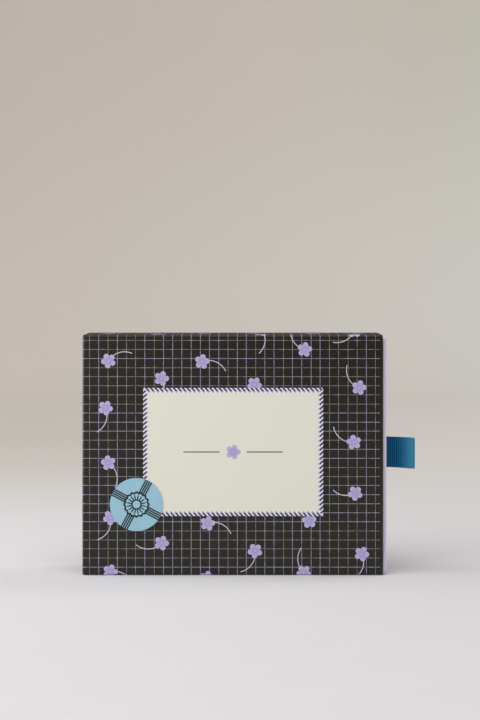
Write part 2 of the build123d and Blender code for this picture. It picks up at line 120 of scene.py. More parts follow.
# ---- Lights ---------------------------------------------------------------------------------
WINDOW_PANES = ((26, 3.5), (63, 10.5), (93, 14.5), (123, 4))  # degrees to the left, watts
WINDOW_REACH = 1.5
WINDOW_HEIGHT = 0.38
WINDOW_TARGET = (0, 0, 0.06)
PANE_SIZE = 0.8
OVERHEAD = ((-0.1, -0.9, 1.9), (0.0, 0.0, 0.0), 1.6, 21)  # place, target, size, watts
WALL_WASH = ((1.4, 0.9, 1.8), (1.2, 2.1, 0.1), 1.2, 16)
AIR_STRENGTH = 0.29

# ---- Backdrop and camera --------------------------------------------------------------------
SWEEP_SIDE = 5.0  # half of the backdrop's width
SWEEP_NEAR = -5.0
SWEEP_START = 1.4  # where the floor begins to rise
SWEEP_RADIUS = 1.2
SWEEP_STEPS = 24
WALL_TOP = 4.0
FLOOR_FADE = (0.06, 0.6)  # where the near floor's colour goes over into the far one's, painted light and shade
WALL_FADE = (0.75, 1.6)  # where the far floor's goes over into the wall's
WALL_REACH = 0.4  # half of the width over which the wall's painted light varies
WALL_RISE = 0.6  # the height over which painted shade darkens the wall towards its top
CAMERA_ASIDE = 3.6 * MM  # from the case's middle
CAMERA_HEIGHT = 145 * MM
CAMERA_DISTANCE = 1.022  # from the case's front
CAMERA_LENS = 106  # in mm, like the sensor
CAMERA_SENSOR = 36
CAMERA_SHIFT = -0.1186  # in picture heights

# ---- Colours from 0 to 255. A pair holds the two tones that a surface varies between -----------
GROUND = ((20, 19, 11), (30, 28, 18))
LINE_GREY = (166, 161, 154)
LINE_LAVENDER = (160, 152, 192)
PETAL = (180, 172, 212)
PETAL_SHADE = (150, 141, 188)
STEM = (206, 200, 218)
CREAM = ((217, 215, 201), (227, 225, 212))
ROPE_SHADE = (156, 147, 194)
ROPE_LIGHT = (240, 238, 245)
STICKER_BLUE = ((128, 177, 199), (160, 199, 213))
LINE_BLACK = (12, 12, 14)
LAVENDER = ((213, 205, 233), (228, 221, 243))
BOARD = ((150, 144, 134), (182, 176, 166))
BOARD_FLECK = (92, 86, 78)
# groove and crest tones: painted shade and light on the ribs, also varied by the weft's tone
RIBBON = ((0, 38, 66), (0, 124, 176))
# painted highlight towards the ribbon's tip
RIBBON_TIP_HIGHLIGHT = (104, 200, 238)
RIBBON_SHEEN = (20, 160, 215)
FOAM = ((228, 223, 208), (240, 236, 224))
# painted shade in the foam's cells
FOAM_PORE_SHADE = (176, 168, 150)
BRASS = ((214, 174, 98), (236, 200, 128))
WOOD = ((206, 158, 108), (168, 114, 70))
WOOD_PORE = (104, 66, 40)
WAX = ((62, 118, 160), (86, 142, 182))
# painted shade in the plait's grooves, and the strands' tone
WICK = ((206, 200, 184), (238, 234, 222))
AIR = (214, 211, 208)
FLOOR_NEAR = ((222, 220, 223), (225, 223, 226))
FLOOR_FAR_PAINTED_LIGHT = ((208, 203, 197), (225, 221, 216))  # left, right: painted light, the far floor darker on the left
WALL_FOOT_PAINTED_LIGHT = ((234, 225, 217), (230, 225, 217), (229, 227, 222))  # left, middle, right: painted light across the wall's foot
# painted shade: the wall's head is darker than its foot, most on the right; left, middle, right
WALL_HEAD_PAINTED_SHADE = ((227, 218, 210), (223, 214, 205), (212, 209, 197))


def linear(colour):
    """Linear RGBA of a colour as the eye reads it, given from 0 to 255."""
    channels = [c / 255 for c in colour]
    return (*(c / 12.92 if c < 0.04045 else ((c + 0.055) / 1.055) ** 2.4 for c in channels), 1)


# ---- Materials, written as formulas ---------------------------------------------------------
class Term:
    """A value in a material's node tree. Arithmetic on it adds nodes."""

    def __init__(self, graph, socket):
        self.graph = graph
        self.socket = socket

    def __add__(self, other):
        return self.graph.math("ADD", self, other)

    def __sub__(self, other):
        return self.graph.math("SUBTRACT", self, other)

    def __rsub__(self, other):
        return self.graph.math("SUBTRACT", other, self)

    def __mul__(self, other):
        return self.graph.math("MULTIPLY", self, other)

    def __truediv__(self, other):
        return self.graph.math("DIVIDE", self, other)

    __radd__ = __add__
    __rmul__ = __mul__

    def abs(self):
        return self.graph.math("ABSOLUTE", self)

    def floor(self):
        return self.graph.math("FLOOR", self)

    def fraction(self):
        return self.graph.math("FRACT", self)

    def at_least(self, other):
        return self.graph.math("MAXIMUM", self, other)

    def at_most(self, other):
        return self.graph.math("MINIMUM", self, other)

    def over(self, other):
        return self.graph.math("GREATER_THAN", self, other)


class Graph:
    """One material with a principled shader, and the nodes that its formulas add."""

    def __init__(self, name):
        self.material = bpy.data.materials.new(name)
        self.material.use_nodes = True
        self.tree = self.material.node_tree
        self.tree.nodes.clear()
        self.shader = self.node("ShaderNodeBsdfPrincipled")
        output = self.node("ShaderNodeOutputMaterial")
        self.tree.links.new(self.shader.outputs["BSDF"], output.inputs["Surface"])

    def node(self, kind, **settings):
        made = self.tree.nodes.new(kind)
        for name, value in settings.items():
            setattr(made, name, value)
        return made

    def give(self, socket, value):
        if isinstance(value, Term):
            self.tree.links.new(value.socket, socket)
        else:
            socket.default_value = value

    def math(self, operation, *values):
        made = self.node("ShaderNodeMath", operation=operation)
        for socket, value in zip(made.inputs, values):
            self.give(socket, value)
        return Term(self, made.outputs[0])

    def length(self, x, y):
        return self.math("SQRT", x * x + y * y)

    def vector(self, x, y, z=0.0):
        made = self.node("ShaderNodeCombineXYZ")
        for socket, value in zip(made.inputs, (x, y, z)):
            self.give(socket, value)
        return Term(self, made.outputs[0])

    def split(self, vector):
        made = self.node("ShaderNodeSeparateXYZ")
        self.give(made.inputs[0], vector)
        return [Term(self, socket) for socket in made.outputs]

    def place(self):
        """Where the surface is at rest."""
        return Term(self, self.node("ShaderNodeTexCoord").outputs["Object"])

    def sheet_place(self):
        """Where the surface is on the flat printed sheet."""
        made = self.node("ShaderNodeAttribute", attribute_name="sheet")
        return Term(self, made.outputs["Vector"])

    def noise(self, vector, size, detail=2.0, roughness=0.5):
        """Noise from 0 to 1 whose lumps are about this size."""
        made = self.node("ShaderNodeTexNoise")
        self.give(made.inputs["Vector"], vector)
        made.inputs["Scale"].default_value = 1 / size
        made.inputs["Detail"].default_value = detail
        made.inputs["Roughness"].default_value = roughness
        return Term(self, made.outputs[0])

    def hash(self, vector):
        """A random number from 0 to 1 for each value of a vector."""
        made = self.node("ShaderNodeTexWhiteNoise", noise_dimensions="3D")
        self.give(made.inputs["Vector"], vector)
        return Term(self, made.outputs["Value"])

    def ramp(self, value, start, end, low=0.0, high=1.0):
        """Smooth step from low to high as the value goes from start to end."""
        made = self.node("ShaderNodeMapRange", interpolation_type="SMOOTHSTEP")
        for name, number in zip(("Value", "From Min", "From Max", "To Min", "To Max"),
                                (value, start, end, low, high)):
            self.give(made.inputs[name], number)
        return Term(self, made.outputs[0])

    def inside(self, distance, edge, blur=0.06 * MM):
        """1 where the distance is under the edge, 0 beyond it."""
        return self.ramp(distance, edge - blur, edge + blur, 1.0, 0.0)

    def mix(self, share, first, second):
        """Colour that goes from the first to the second as the share goes from 0 to 1."""
        made = self.node("ShaderNodeMix", data_type="RGBA")
        self.give(made.inputs[0], share)
        for socket, value in zip(made.inputs[6:8], (first, second)):
            self.give(socket, value if isinstance(value, Term) else linear(value))
        return Term(self, made.outputs[2])

    def bump(self, height, depth):
        """Normal of a surface that rises by the depth as the height goes from 0 to 1."""
        made = self.node("ShaderNodeBump")
        self.give(made.inputs["Height"], height)
        made.inputs["Distance"].default_value = depth
        return Term(self, made.outputs[0])

    def finish(self, colour, roughness, normal=None, **sockets):
        """Sets the shader. The other sockets are named with underscores for spaces."""
        self.give(self.shader.inputs["Base Color"], colour)
        self.give(self.shader.inputs["Roughness"], roughness)
        if normal:
            self.give(self.shader.inputs["Normal"], normal)
        for name, value in sockets.items():
            self.shader.inputs[name.replace("_", " ")].default_value = value
        return self.material


def grid_lines(graph, along, first, pitch, salt):
    """Share of a printed line along one direction, and which of the two inks it has."""
    number = ((along - first) / pitch + 0.5).floor()
    chance = graph.hash(graph.vector(number, salt))
    centre = number * pitch + first + (chance - 0.5) * GRID_STRAY
    line = graph.inside((along - centre).abs(), GRID_LINE / 2)
    return line, graph.hash(graph.vector(number, salt, 7.0)).over(0.5)


def flower(graph, x, y):
    """Shares of blossom and of its shade, for a small flower round the origin."""
    reach = graph.length(x, y)
    angle = graph.math("ARCTAN2", y, x)
    petal_angle = math.tau / PETALS
    folded = ((angle / petal_angle + 0.5).fraction() - 0.5) * petal_angle
    petal_x = reach * graph.math("COSINE", folded) - PETAL_REACH
    petal_y = reach * graph.math("SINE", folded)
    petal = graph.length(petal_x, petal_y)
    heart = graph.inside(reach, PETAL_REACH * 0.7)
    crease = graph.inside(petal_y.abs(), 0.12 * MM, 0.1 * MM)
    crease = crease * graph.inside(reach, PETAL_REACH * 1.25)
    edge = graph.inside(PETAL_RADIUS - petal, 0.1 * MM, 0.12 * MM)
    shade = graph.ramp(reach, 0.7 * MM, PETAL_REACH * 1.3, 0.75, 0.0)
    shade = shade.at_least(crease * 0.6).at_least(edge * 0.5)
    around_eye = graph.ramp(reach, 0.45 * MM, 0.65 * MM)
    return graph.inside(petal, PETAL_RADIUS).at_least(heart), shade * around_eye


def sprigs(graph, u, v):
    """Shares of blossom, its shade and stem, for sprigs scattered in half-drop rows."""
    width, height = SPRIG_CELL
    column = (u / width).floor()
    odd = (column / 2).fraction() * 2
    risen = v / height + odd * 0.5
    row = risen.floor()
    stray_x, stray_y = (
        graph.hash(graph.vector(column, row, salt)) - 0.5 for salt in (11.0, 12.0)
    )
    x = u - (column + 0.5) * width - stray_x * SPRIG_STRAY
    y = (risen - row - 0.5) * height - stray_y * SPRIG_STRAY
    turn = graph.hash(graph.vector(column, row, 3.0)) * math.tau
    cosine, sine = graph.math("COSINE", turn), graph.math("SINE", turn)
    x, y = x * cosine + y * sine, y * cosine - x * sine
    blossom, shade = flower(graph, x, y)
    bend = graph.length(x - STEM_RADIUS, y + STEM_DROP)
    stem = graph.inside((bend - STEM_RADIUS).abs(), STEM_WIDTH / 2, 0.09 * MM)
    start, end = STEM_SPAN
    fade_in, fade_out = STEM_FADE
    stem = stem * graph.ramp(y, start, start + fade_in)
    stem = stem * graph.ramp(y, end - fade_out, end, 1.0, 0.0)
    stem = stem * graph.inside(x, STEM_RADIUS)
    return blossom, shade, stem


def printed_paper():
    """Dark paper printed with a hand-drawn check and scattered sprigs."""
    graph = Graph("printed_paper")
    sheet = graph.sheet_place()
    u, v, _ = graph.split(sheet)
    fibre = graph.noise(sheet, 0.35 * MM, 3.0, 0.6)
    cloud = graph.noise(sheet, 6 * MM, 2.0)
    colour = graph.mix(fibre * 0.55 + cloud * 0.45, *GROUND)
    across, across_ink = grid_lines(graph, v, *GRID_V, 1.0)
    upright, upright_ink = grid_lines(graph, u, *GRID_U, 2.0)
    printed = graph.inside(u, PRINT_END)
    wear = graph.ramp(graph.noise(sheet, 2.2 * MM, 3.0, 0.6), 0.32, 0.66, 0.4, 1.0) * printed
    colour = graph.mix(upright.at_least(across) * wear * GREY_COVER, colour, LINE_GREY)
    lavender_line = (upright * upright_ink).at_least(across * across_ink)
    colour = graph.mix(lavender_line * wear * LAVENDER_COVER, colour, LINE_LAVENDER)
    blossom, shade, stem = sprigs(graph, u, v)
    colour = graph.mix(stem * printed, colour, STEM)
    colour = graph.mix(blossom * printed, colour, graph.mix(shade, PETAL, PETAL_SHADE))
    normal = graph.bump(fibre, 0.012 * MM)
    roughness = graph.ramp(v, CASE_HIGH.z - 0.5 * MM, CASE_HIGH.z + 1 * MM, SATIN, MATT)
    return graph.finish(colour, roughness, normal, Specular_IOR_Level=0.38)


def label_card():
    """Cream card: a twisted rope printed round its edge, and a flower between two rules."""
    graph = Graph("label_card")
    place = graph.place()
    x, _, z = graph.split(place)
    middle = (LABEL_LOW + LABEL_HIGH) / 2
    half = (LABEL_HIGH - LABEL_LOW) / 2
    x, z = x - middle.x, z - middle.z
    from_side = half.x - x.abs()
    from_top = half.z - z.abs()
    depth = from_side.at_most(from_top)
    on_side = from_top.over(from_side)
    run_top = x * graph.math("SIGN", z)
    run_side = z * graph.math("SIGN", x) * -1.0
    run = run_side * on_side + run_top * (1.0 - on_side)
    phase = ((run - depth * ROPE_SLANT) / ROPE_PITCH).fraction()
    strand, lit = (
        graph.ramp((phase - centre).abs(), full, faded, 1.0, 0.0)
        for centre, full, faded in (ROPE_STRAND, ROPE_GLINT)
    )
    rope = graph.inside(depth, ROPE_WIDTH, 0.1 * MM)
    gap = rope * graph.inside(depth, ROPE_GAP, 0.15 * MM) * (1.0 - strand)
    fibre = graph.noise(place, 0.3 * MM, 3.0, 0.6)
    card = graph.mix(fibre, *CREAM)
    colour = graph.mix(rope * strand, card, ROPE_SHADE)
    colour = graph.mix(rope * lit, colour, ROPE_LIGHT)
    colour = graph.mix(gap, colour, LINE_BLACK)
    width, start, end = RULE
    from_middle = (x.abs() - (start + end) / 2).abs()
    rule = graph.inside(z.abs(), width / 2) * graph.inside(from_middle, (end - start) / 2)
    colour = graph.mix(rule, colour, LINE_BLACK)
    blossom, shade = flower(graph, x, z)
    colour = graph.mix(blossom, colour, graph.mix(shade, PETAL, PETAL_SHADE))
    normal = graph.bump(fibre, 0.01 * MM)
    return graph.finish(colour, roughness=0.55, normal=normal, Specular_IOR_Level=0.4)


def sticker_print():
    """Pale blue sticker with a line-drawn rosette over two crossing bands."""
    graph = Graph("sticker_print")
    place = graph.place()
    x, _, z = graph.split(place)
    middle = (STICKER_LOW + STICKER_HIGH) / 2
    x, z = x - middle.x, z - middle.z
    across = x * math.cos(BAND_LEAN) - z * math.sin(BAND_LEAN)
    rise = x * math.sin(BAND_LEAN) + z * math.cos(BAND_LEAN)
    reach = graph.length(x, z)
    angle = graph.math("ARCTAN2", z, x)
    scallop = graph.math("COSINE", angle * (ROSETTE_PETALS / 2)).abs() * SCALLOP
    outline = ROSETTE_RADIUS + scallop
    lines = 0.0
    for offset in BAND_LINES:
        for side in (across, rise):
            line = graph.inside((side - offset).abs(), INK_LINE / 2, 0.05 * MM)
            lines = line.at_least(lines)
    lines = lines * graph.ramp(reach - outline, 0.1 * MM, 0.3 * MM)
    ring = graph.inside((reach - outline).abs(), INK_LINE * 0.7, 0.06 * MM)
    hub = graph.inside((reach - HUB_RADIUS).abs(), INK_LINE / 2, 0.06 * MM)
    petal_angle = math.tau / ROSETTE_PETALS
    folded = ((angle / petal_angle).fraction() - 0.5).abs() * petal_angle * reach
    spokes = graph.inside(folded, INK_LINE * 0.42, 0.05 * MM)
    spokes = spokes * graph.ramp(reach, HUB_RADIUS, HUB_RADIUS + ROSETTE_RADIUS * 0.04)
    spokes = spokes * graph.inside(reach, ROSETTE_RADIUS * 0.86, 0.1 * MM)
    ink = ring.at_least(lines).at_least(hub).at_least(spokes)
    tone = graph.noise(place, 0.4 * MM, 2.0) * 0.5 + graph.noise(place, 5 * MM, 2.0) * 0.5
    blue = graph.mix(tone, *STICKER_BLUE)
    colour = graph.mix(ink, blue, LINE_BLACK)
    normal = graph.bump(tone, 0.006 * MM)
    return graph.finish(colour, roughness=0.34, normal=normal, Specular_IOR_Level=0.5)


def lavender_paper():
    """Plain dyed covering paper with its fibres."""
    graph = Graph("lavender_paper")
    place = graph.place()
    fibre = graph.noise(place, 0.4 * MM, 4.0, 0.65)
    cloud = graph.noise(place, 9 * MM, 2.0)
    colour = graph.mix(fibre * 0.6 + cloud * 0.4, *LAVENDER)
    normal = graph.bump(fibre, 0.02 * MM)
    return graph.finish(colour, roughness=0.6, normal=normal, Specular_IOR_Level=0.4)


def greyboard():
    """Recycled board with flecks and a pressed, slightly uneven face."""
    graph = Graph("greyboard")
    place = graph.place()
    pulp = graph.noise(place, 0.7 * MM, 4.0, 0.7)
    flecks = graph.ramp(graph.noise(place, 0.5 * MM, 1.0), 0.66, 0.72)
    colour = graph.mix(pulp, *BOARD)
    colour = graph.mix(flecks * 0.5, colour, BOARD_FLECK)
    normal = graph.bump(pulp, 0.05 * MM)
    return graph.finish(colour, roughness=0.85, normal=normal, Specular_IOR_Level=0.25)


def grosgrain():
    """Teal ribbon: painted light on its rib crests, painted shade in the grooves, a painted
    highlight towards the tip.
    """
    graph = Graph("grosgrain")
    place = graph.place()
    x, y, z = graph.split(place)
    threads = graph.math("SINE", z * (math.tau / (0.22 * MM))) * 0.5 + 0.5
    crest = Term(graph, graph.node("ShaderNodeAttribute", attribute_name="rib").outputs["Fac"])
    weft = graph.noise(graph.vector(x * 3.0, y * 3.0, z * 0.4), 0.5 * MM, 2.0)
    # painted shade and light: the ribs' grooves darker, their crests lighter; the weft noise varies
    # the tone at random
    colour = graph.mix(crest * 0.7 + weft * 0.3, *RIBBON)
    # painted highlight: the ribbon grows lighter towards its tip, most on the crests
    tip_highlight = graph.ramp(x, PULL_END_HIGH.x + 5.5 * MM, RIBBON_HIGH.x + 1.5 * MM, 0.0, 0.7)
    colour = graph.mix(tip_highlight * (crest * 0.7 + 0.3), colour, RIBBON_TIP_HIGHLIGHT)
    return graph.finish(
        colour, roughness=0.42, normal=graph.bump(threads, 0.02 * MM), Specular_IOR_Level=0.12,
        Sheen_Weight=0.3, Sheen_Roughness=0.3, Sheen_Tint=linear(RIBBON_SHEEN),
    )


def foam_sheet():
    """Cut foam with fine open cells, with painted shade in the cells."""
    graph = Graph("foam_sheet")
    place = graph.place()
    cells = graph.node("ShaderNodeTexVoronoi")
    graph.give(cells.inputs["Vector"], place)
    cells.inputs["Scale"].default_value = 1 / (0.8 * MM)
    pore = Term(graph, cells.outputs["Distance"])
    tone = graph.noise(place, 5 * MM, 3.0)
    colour = graph.mix(tone, *FOAM)
    # painted shade: darker towards the middle of each cell, where the bump sinks
    colour = graph.mix(graph.ramp(pore, 0.0, 0.28, 0.35, 0.0), colour, FOAM_PORE_SHADE)
    normal = graph.bump(pore, 0.12 * MM)
    return graph.finish(colour, roughness=0.9, normal=normal, Specular_IOR_Level=0.2)


def brass():
    """Turned brass with fine tool rings and a little tarnish."""
    graph = Graph("brass")
    place = graph.place()
    x, y, z = graph.split(place)
    rings = graph.noise(graph.vector(x * 0.02, y * 0.02, z), 0.12 * MM, 2.0)
    tarnish = graph.noise(place, 5 * MM, 4.0, 0.6)
    colour = graph.mix(tarnish, *BRASS)
    roughness = graph.ramp(tarnish, 0.3, 0.7, 0.2, 0.34)
    return graph.finish(colour, roughness, graph.bump(rings, 0.006 * MM), Metallic=1.0)


def turned_wood(name, axis_x, axis_y):
    """Beech turned about an upright axis, with rings, pores and a thin satin varnish."""
    graph = Graph(name)
    x, y, z = graph.split(graph.place())
    wander = graph.noise(graph.vector(x, y, z * 0.15), 6 * MM, 2.0)
    across = x - axis_x + (wander - 0.5) * (3 * MM)
    depth = across + (y - axis_y) * 0.35
    grain = graph.math("SINE", depth * (math.tau / (2.4 * MM))) * 0.5 + 0.5
    pores = graph.noise(graph.vector(x, y, z * 0.08), 0.25 * MM, 3.0, 0.7)
    colour = graph.mix(grain * 0.55 + pores * 0.45, *WOOD)
    colour = graph.mix(graph.ramp(pores, 0.62, 0.7) * 0.5, colour, WOOD_PORE)
    return graph.finish(
        colour, roughness=0.42, normal=graph.bump(pores, 0.015 * MM),
        Coat_Weight=0.35, Coat_Roughness=0.22,
    )


def sealing_wax():
    """Blue wax, cloudy inside and slightly scuffed outside."""
    graph = Graph("sealing_wax")
    place = graph.place()
    cloud = graph.noise(place, 3.5 * MM, 3.0, 0.6)
    scuff = graph.noise(place, 0.5 * MM, 4.0, 0.7)
    colour = graph.mix(cloud, *WAX)
    roughness = graph.ramp(scuff, 0.35, 0.65, 0.3, 0.5)
    return graph.finish(
        colour, roughness, graph.bump(scuff, 0.02 * MM),
        Subsurface_Weight=0.25, Subsurface_Scale=1.2 * MM, Coat_Weight=0.1,
    )


def cotton_wick():
    """Plaited cotton, waxed, with painted shade in the grooves of the plait."""
    graph = Graph("cotton_wick")
    place = graph.place()
    x, y, z = graph.split(place)
    plait = graph.math("SINE", (z + (x + y) * 1.5) * (math.tau / (1.1 * MM))) * 0.5 + 0.5
    # painted shade: darker where the plait sinks
    colour = graph.mix(plait, *WICK)
    return graph.finish(colour, roughness=0.8, normal=graph.bump(plait, 0.15 * MM))


# ---- Meshes ---------------------------------------------------------------------------------
def mesh_object(name, places, faces, material):
    """Smooth mesh with one material, in the scene."""
    mesh = bpy.data.meshes.new(name)
    mesh.from_pydata(places, [], faces)
    mesh.shade_smooth()
    mesh.materials.append(material)
    made = bpy.data.objects.new(name, mesh)
    bpy.context.scene.collection.objects.link(made)
    return made


def shell(rows, normals, thickness):
    """Places, faces and corner normals of a closed sheet from rows of outside places."""
    tall, wide = len(rows), len(rows[0])
    outside = [place for row in rows for place in row]
    directions = [normal for row in normals for normal in row]
    inside = [place - normal * thickness for place, normal in zip(outside, directions)]
    places = outside + inside
    count = len(outside)
    faces, corners = [], []

    def add(face, face_corners=None):
        if face_corners is None:
            a, b, c = (places[i] for i in face[:3])
            face_corners = [(b - a).cross(c - b).normalized()] * len(face)
        faces.append(face)
        corners.append(face_corners)

    for i in range(tall - 1):
        for j in range(wide - 1):
            quad = (i * wide + j, i * wide + j + 1, (i + 1) * wide + j + 1, (i + 1) * wide + j)
            add(quad, [directions[k] for k in quad])
            back = tuple(k + count for k in reversed(quad))
            add(back, [-directions[k - count] for k in back])
    rim = list(range(wide - 1))
    rim += [i * wide + wide - 1 for i in range(tall - 1)]
    rim += [(tall - 1) * wide + j for j in range(wide - 1, 0, -1)]
    rim += [i * wide for i in range(tall - 1, 0, -1)]
    for a, b in zip(rim, rim[1:] + rim[:1]):
        add((b, a, a + count, b + count))
    return places, faces, corners


def paper_piece(name, rows, normals, sheet, material):
    """Closed sheet of printed paper from rows of outside places and their places on the print."""
    places, faces, corners = shell(rows, normals, PAPER)
    piece = mesh_object(name, places, faces, material)
    piece.data.normals_split_custom_set([normal for face in corners for normal in face])
    attribute = piece.data.attributes.new("sheet", "FLOAT_VECTOR", "POINT")
    attribute.data.foreach_set("vector", [c for place in sheet * 2 for c in place])
    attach(piece, "sleeve")
    return piece


def side_sheet_place(side, place):
    """Where a place on one side of the slipcase is on the flat printed sheet."""
    round_the_end = CASE_LOW.x - (place.y - CASE_LOW.y)
    return {
        "front": (place.x, place.z, 0),
        "top": (place.x, CASE_HIGH.z + place.y - CASE_LOW.y, 0),
        "bottom": (place.x, CASE_LOW.y - place.y, 0),
        "end": (round_the_end, place.z, 0),
        "back": (2 * CASE_LOW.x - (CASE_HIGH.y - CASE_LOW.y) - place.x, place.z, 0),
    }[side]


SIDE_AXES = {  # outward direction, then the panel's two directions in turning order
    "front": (Vector((0, -1, 0)), Vector((1, 0, 0)), Vector((0, 0, 1))),
    "back": (Vector((0, 1, 0)), Vector((-1, 0, 0)), Vector((0, 0, 1))),
    "top": (Vector((0, 0, 1)), Vector((1, 0, 0)), Vector((0, 1, 0))),
    "bottom": (Vector((0, 0, -1)), Vector((1, 0, 0)), Vector((0, -1, 0))),
    "end": (Vector((-1, 0, 0)), Vector((0, -1, 0)), Vector((0, 0, 1))),
}


def panel_marks(axis, low, high):
    """Places along one direction of a panel: small steps on its rounded edges, none between."""
    angles = [math.radians(45 * i / ROUND_STEPS) for i in range(ROUND_STEPS + 1)]
    strip = [CASE_ROUND * math.tan(angle) for angle in angles]
    marks = [low + CASE_ROUND - reach for reach in reversed(strip)]
    if axis == 0:  # the mouth's strips begin there
        return marks + [high - MOUTH_ROUND]
    return marks + [high - CASE_ROUND + reach for reach in strip]


def wrap_panel(side, material):
    """One side of the printed wrap with its half of each rounded edge."""
    out, across, up = SIDE_AXES[side]
    core_low = CASE_LOW + Vector((CASE_ROUND,) * 3)
    core_high = CASE_HIGH - Vector((0, CASE_ROUND, CASE_ROUND))
    marks = []
    for direction in (across, up):
        axis = max(range(3), key=lambda i: abs(direction[i]))
        found = panel_marks(axis, CASE_LOW[axis], CASE_HIGH[axis])
        marks.append((axis, found if direction[axis] > 0 else found[::-1]))
    (across_axis, across_marks), (up_axis, up_marks) = marks
    out_axis = max(range(3), key=lambda i: abs(out[i]))
    level = CASE_HIGH[out_axis] if out[out_axis] > 0 else CASE_LOW[out_axis]
    rows, normals, sheet = [], [], []
    for up_mark in up_marks:
        row, row_normals = [], []
        for across_mark in across_marks:
            corner = Vector()
            corner[out_axis], corner[across_axis], corner[up_axis] = level, across_mark, up_mark
            core = Vector(min(max(c, a), b) for c, a, b in zip(corner, core_low, core_high))
            normal = (corner - core).normalized()
            row.append(core + normal * CASE_ROUND)
            row_normals.append(normal)
            sheet.append(side_sheet_place(side, corner))
        rows.append(row)
        normals.append(row_normals)
    piece = paper_piece(f"wrap_{side}_panel", rows, normals, sheet, material)
    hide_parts("bottom_wrap" if side == "bottom" else "sleeve_wrap")


def mouth_profile():
    """Section of the wrap at the mouth: how far in from the side, where along X, and its lean."""
    section = []
    quarter = [math.radians(90 * i / ROUND_STEPS) for i in range(ROUND_STEPS + 1)]
    edge = CASE_HIGH.x - MOUTH_ROUND
    for angle in quarter:
        inset = MOUTH_ROUND * (1 - math.cos(angle))
        section.append((inset, edge + MOUTH_ROUND * math.sin(angle), angle))
    for angle in quarter:
        inset = CASE_WALL - MOUTH_ROUND * (1 - math.sin(angle))
        section.append((inset, edge + MOUTH_ROUND * math.cos(angle), angle + math.pi / 2))
    section.append((CASE_WALL, CASE_HIGH.x - TURN_IN, math.pi))
    return section


def mouth_strip(side, material):
    """The wrap folded over one side of the mouth and turned in."""
    out, _, _ = SIDE_AXES[side]
    along = Vector((0, 0, 1)) if side in ("front", "back") else Vector((0, 1, 0))
    axis = 2 if side in ("front", "back") else 1
    out_axis = 3 - axis
    half = (CASE_HIGH[axis] - CASE_LOW[axis]) / 2
    level = CASE_HIGH[out_axis] if out[out_axis] > 0 else CASE_LOW[out_axis]
    turns = [math.radians(45 - 45 * i / ROUND_STEPS) for i in range(ROUND_STEPS + 1)]
    rows, normals, sheet = [], [], []
    travelled = 0.0
    before = None
    for inset, x, lean in mouth_profile():
        travelled += 0 if before is None else math.hypot(inset - before[0], x - before[1])
        before = (inset, x)
        radius = max(CASE_ROUND - inset, LEAST_ROUND)
        reach = half - inset - radius
        ends = [(-reach - radius * math.sin(t), radius * (1 - math.cos(t)), -t) for t in turns]
        ends += [(-a, d, -t) for a, d, t in reversed(ends)]
        row, row_normals = [], []
        for shift, drop, turn in ends:
            place = Vector((x, 0, 0))
            place[axis] = CASE_MIDDLE[axis] + shift
            place[out_axis] = level - out[out_axis] * (inset + drop)
            outward = out * math.cos(turn) + along * math.sin(turn)
            row.append(place)
            row_normals.append(outward * math.cos(lean) + Vector((1, 0, 0)) * math.sin(lean))
            u = CASE_HIGH.x - MOUTH_ROUND + travelled
            flat = side_sheet_place(side, place)
            sheet.append((u if side != "back" else flat[0] - travelled, flat[1], 0))
        rows.append(row)
        normals.append(row_normals)
    if (rows[0][-1] - rows[0][0]).cross(rows[1][0] - rows[0][0]).dot(normals[0][0]) < 0:
        rows = [row[::-1] for row in rows]
        normals = [row[::-1] for row in normals]
        wide = len(rows[0])
        sheet = [p for i in range(len(rows)) for p in reversed(sheet[i * wide:(i + 1) * wide])]
    piece = paper_piece(f"mouth_{side}_strip", rows, normals, sheet, material)
    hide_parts("sleeve_wrap")


def ribbon_route():
    """Middle line of the ribbon, from above: two glued tails, the slot and the loop outside."""
    half = RIBBON_SPACING / 2
    far_tail = RIBBON_LOW.x + RIBBON_THICKNESS / 2
    near_tail = far_tail + RIBBON_SPACING
    tail_end = RIBBON_HIGH.y
    bend = Vector((near_tail + RIBBON_BEND, half + RIBBON_BEND))
    tip = RIBBON_HIGH.x - RIBBON_THICKNESS / 2 - LOOP_RADIUS
    start = PULL_END_HIGH.x
    loop_start = tip - LOOP_RADIUS * math.sin(LOOP_LEAN)
    turn = 90 + math.degrees(LOOP_LEAN)

    def arc(centre, radius, first, last, steps=14):
        angles = [math.radians(first + (last - first) * i / steps) for i in range(steps + 1)]
        return [centre + Vector((math.cos(a), math.sin(a))) * radius for a in angles]

    def run(a, b, side):
        """From a to b along X. The two layers part outside the pull end."""
        steps = 60
        made = []
        for i in range(1, steps):
            x = a + (b - a) * i / steps
            share = min(max((x - start) / (loop_start - start), 0), 1)
            opening = (LOOP_RADIUS * math.cos(LOOP_LEAN) - half) * share ** LOOP_POWER
            made.append(Vector((x, side * (half + opening))))
        return made

    route = [Vector((near_tail, tail_end))]
    route += arc(bend, RIBBON_BEND, 180, 270)
    route += run(bend.x, loop_start, 1)
    route += arc(Vector((tip, 0)), LOOP_RADIUS, turn, -turn)
    route += run(loop_start, bend.x, -1)
    route += arc(bend, RIBBON_BEND + RIBBON_SPACING, 270, 180)
    route += [Vector((far_tail, tail_end))]
    return route


def resampled(route, step):
    """Places an even step apart along a route, and its whole length."""
    lengths = [(b - a).length for a, b in zip(route, route[1:])]
    total = sum(lengths)
    count = round(total / step)
    made = []
    leg, passed = 0, 0.0
    for i in range(count + 1):
        wanted = total * i / count
        while leg < len(lengths) - 1 and passed + lengths[leg] < wanted:
            passed += lengths[leg]
            leg += 1
        made.append(route[leg].lerp(route[leg + 1], (wanted - passed) / lengths[leg]))
    return made, total


